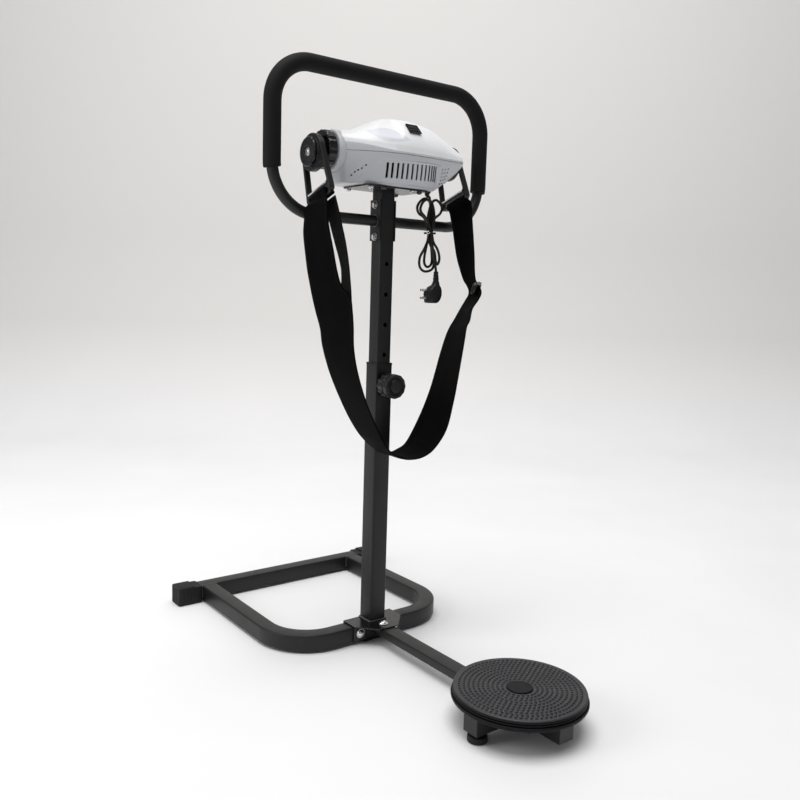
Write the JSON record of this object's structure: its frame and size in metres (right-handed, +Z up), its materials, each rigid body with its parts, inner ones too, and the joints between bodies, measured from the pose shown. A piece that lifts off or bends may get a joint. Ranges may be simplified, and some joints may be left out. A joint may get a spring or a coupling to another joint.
{
  "type": "standing vibration belt massager",
  "caption": "Upright vibrating belt massager: telescopic post on a D-shaped floor frame, motor head with driven belt hooks, foam handle loop and twist disc.",
  "frame": {"origin": "on the floor, under the axis of the upright post, at the centre of the front floor pad's underside", "axes": "+Z up along the post, -Y from the post to the twist disc, +Y to the rear floor bar, +X along the motor shaft to the side of the buckle"},
  "size_m": [0.64, 1.1187, 1.3397],
  "materials": {
    "powder_coat": "satin black powder coat",
    "zinc": "bright zinc plated",
    "steel": "machined",
    "black_plastic": "fine moulded texture",
    "rubber_black": "matte",
    "foam": "matte closed-cell foam sleeve",
    "webbing": "woven webbing",
    "shell_white": "smooth white moulding",
    "shell_grey": "smooth light grey-white moulding",
    "disc_grey": "matte dark grey moulding",
    "board_green": "circuit board"
  },
  "bodies": {
    "root": {"base_loop": "powder_coat", "rear_bar": "powder_coat", "rear_boot_left": "rubber_black", "rear_boot_right": "rubber_black", "front_pad": "rubber_black", "foot_bracket": "powder_coat", "bracket_bolt_left": "zinc", "bracket_bolt_right": "zinc", "bracket_bolt_top": "zinc", "lower_post": "powder_coat", "post_bush": "black_plastic", "disc_arm": "powder_coat", "disc_frame": "powder_coat", "disc_foot_left": "rubber_black", "disc_foot_right": "rubber_black", "disc_base": "black_plastic", "disc_bearing": "steel", "disc_pivot": "steel"},
    "turntable": {"disc_top": "disc_grey", "disc_mat": "disc_grey", "disc_cap": "disc_grey"},
    "lock_pin": {"lock_pin": "zinc"},
    "lock_knob": {"knob_grip": "black_plastic"},
    "column": {"upper_post": "powder_coat", "handle_bracket": "powder_coat", "handle_tube": "powder_coat", "foam_grip": "foam", "handle_bolt_lower": "zinc", "handle_bolt_upper": "zinc", "head_plate": "powder_coat", "lower_shell": "shell_grey", "upper_shell": "shell_white", "motor_stator": "steel", "bearing_left": "steel", "bearing_right": "steel", "end_collar_left": "shell_grey", "end_collar_right": "shell_grey", "control_board": "board_green", "switch_bezel": "black_plastic", "cord_grommet": "black_plastic", "power_cord": "rubber_black", "cord_tie": "black_plastic", "plug_body": "black_plastic"},
    "switch": {"rocker": "black_plastic"},
    "rotor": {"motor_shaft": "steel", "rotor_core": "steel", "cooling_fan": "black_plastic", "hub_left": "black_plastic", "hub_right": "black_plastic", "crank_left": "black_plastic", "crank_right": "black_plastic"},
    "ring_left": {"ring_left": "steel"},
    "ring_right": {"ring_right": "steel"},
    "hook_left": {"hook_left": "black_plastic", "strap_left": "webbing"},
    "hook_right": {"hook_right": "black_plastic", "strap_right": "webbing"},
    "belt": {"belt_main": "webbing", "buckle": "black_plastic"}
  },
  "joints": [
    {"name": "height_slide", "type": "slide", "parent": "root", "child": "column", "axis": [0, 0, 1], "range_m": [-0.28, 0.07]},
    {"name": "pin_slide", "type": "slide", "parent": "root", "child": "lock_pin", "axis": [0, -1, 0], "range_m": [-0.007, 0.004]},
    {"name": "knob_turn", "type": "hinge", "parent": "lock_pin", "child": "lock_knob", "pos_m": [0, -0.05, 0.628], "axis": [0, -1, 0], "range_deg": [-180, 180]},
    {"name": "disc_spin", "type": "hinge", "parent": "root", "child": "turntable", "pos_m": [0, -0.503, 0.077], "axis": [0, 0, 1], "continuous": true},
    {"name": "switch_rock", "type": "hinge", "parent": "column", "child": "switch", "pos_m": [0.024, -0.072, 1.2052], "axis": [1, 0, 0], "range_deg": [0, 14]},
    {"name": "rotor_spin", "type": "hinge", "parent": "column", "child": "rotor", "pos_m": [0, 0, 1.1465], "axis": [1, 0, 0], "continuous": true},
    {"name": "ring_left_spin", "type": "hinge", "parent": "rotor", "child": "ring_left", "pos_m": [-0.19, 0, 1.1375], "axis": [1, 0, 0], "continuous": true},
    {"name": "ring_right_spin", "type": "hinge", "parent": "rotor", "child": "ring_right", "pos_m": [0.19, 0, 1.1555], "axis": [1, 0, 0], "continuous": true},
    {"name": "belt_swing", "type": "hinge", "parent": "column", "child": "belt", "pos_m": [0, 0, 1.1465], "axis": [-1, 0, 0], "range_deg": [0, 60]},
    {"name": "hook_left_swing", "type": "hinge", "parent": "ring_left", "child": "hook_left", "pos_m": [-0.19, 0, 1.1375], "axis": [-1, 0, 0], "range_deg": [0, 60]},
    {"name": "hook_right_swing", "type": "hinge", "parent": "ring_right", "child": "hook_right", "pos_m": [0.19, 0, 1.1555], "axis": [-1, 0, 0], "range_deg": [0, 60]}
  ],
  "couplings": [
    {"joint": "ring_left_spin", "follows": "rotor_spin", "ratio": -1},
    {"joint": "ring_right_spin", "follows": "rotor_spin", "ratio": -1},
    {"joint": "hook_left_swing", "follows": "belt_swing", "ratio": 1},
    {"joint": "hook_right_swing", "follows": "belt_swing", "ratio": 1}
  ]
}
